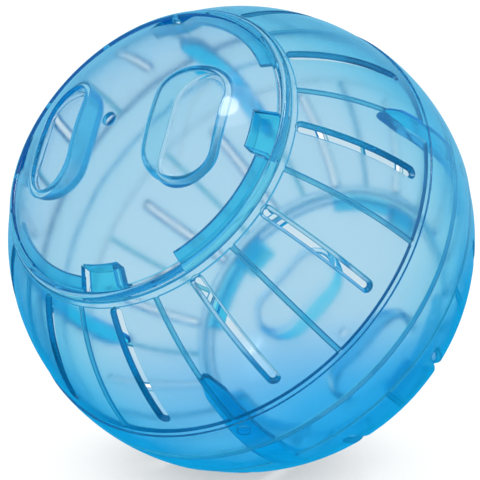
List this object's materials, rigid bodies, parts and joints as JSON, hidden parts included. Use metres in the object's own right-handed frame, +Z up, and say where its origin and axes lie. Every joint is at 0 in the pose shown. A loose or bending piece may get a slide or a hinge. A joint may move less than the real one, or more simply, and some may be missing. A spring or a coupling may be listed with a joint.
{
  "type": "hamster ball",
  "caption": "Clear blue exercise ball in two slotted half shells, with a turn-and-lift bayonet lid on each round doorway.",
  "frame": {"origin": "centre of the ball", "axes": "+Z up, as the ball lies; the lid axis is in the YZ plane, and the front lid faces -Y and 37.2 degrees up; the flat seam between the halves holds the X axis"},
  "size_m": [0.19, 0.1912, 0.1888],
  "materials": {
    "clear_blue_plastic": "polished, transparent"
  },
  "bodies": {
    "shell": {"front_half_shell": "clear_blue_plastic", "back_half_shell": "clear_blue_plastic"},
    "front_lid": {"front_lid": "clear_blue_plastic"},
    "back_lid": {"back_lid": "clear_blue_plastic"}
  },
  "joints": [
    {"name": "front_lid_lift", "type": "slide", "parent": "shell", "child": "front_lid", "axis": [0, -0.7965, 0.6046], "range_m": [0, 0.04]},
    {"name": "back_lid_turn", "type": "hinge", "parent": "shell", "child": "back_lid", "pos_m": [0, 0, 0], "axis": [0, 0.7965, -0.6046], "range_deg": [0, 16.5]}
  ]
}
